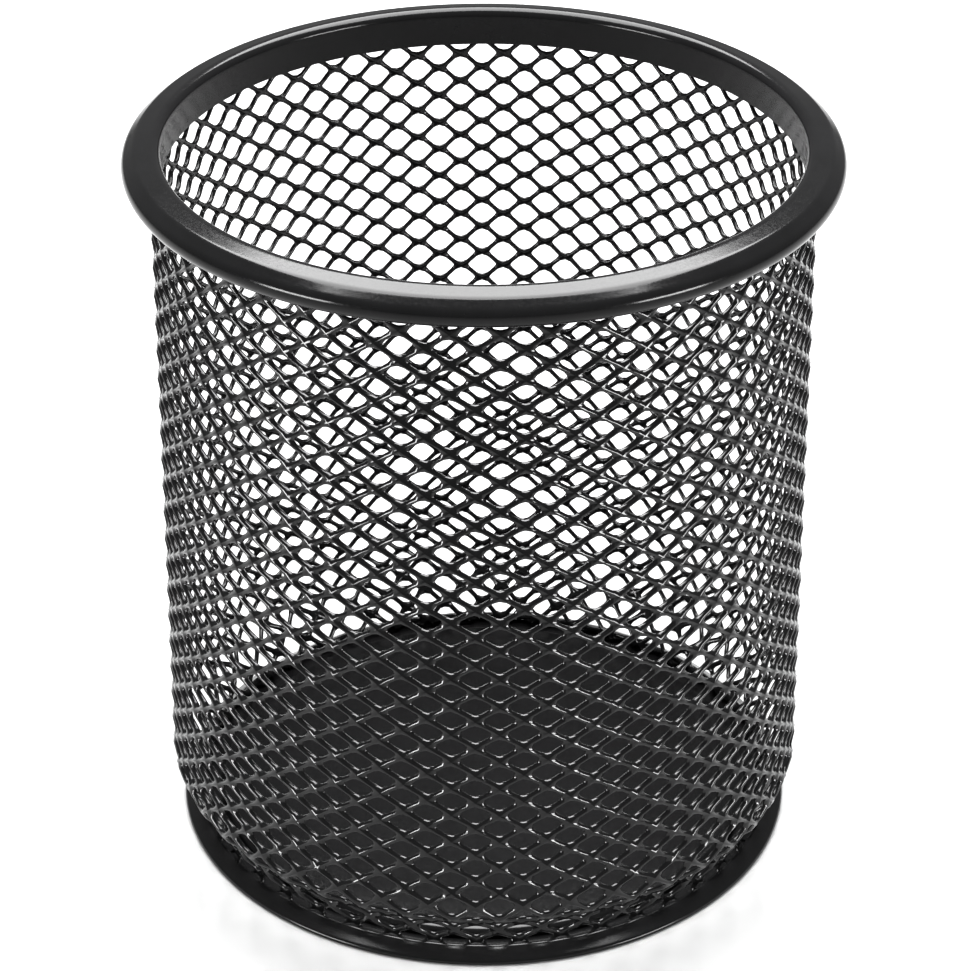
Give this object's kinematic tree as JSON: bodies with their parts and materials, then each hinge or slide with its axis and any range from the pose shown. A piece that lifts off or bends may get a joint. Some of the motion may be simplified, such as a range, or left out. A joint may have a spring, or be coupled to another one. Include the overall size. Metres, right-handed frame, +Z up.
{
  "type": "pen holder cup",
  "caption": "Round desk cup for pens: an open expanded-steel mesh tube with a rolled bead rim and a pressed, hemmed base pan, black powder coated.",
  "frame": {"origin": "on the axis of the cup, in the plane of the ring of the base pan that it stands on", "axes": "+Z up along the axis of the cup, towards its open mouth; +X and +Y are alike, as the cup is round"},
  "size_m": [0.089, 0.089, 0.097],
  "materials": {
    "rim_coat": "smooth black powder coat, satin gloss, on rolled sheet steel",
    "mesh_coat": "black powder coat, semi-gloss, on expanded steel mesh",
    "base_coat": "black powder coat, satin gloss, on pressed sheet steel"
  },
  "bodies": {
    "root": {"top_rim": "rim_coat", "mesh_wall": "mesh_coat", "base_pan": "base_coat"}
  },
  "joints": []
}
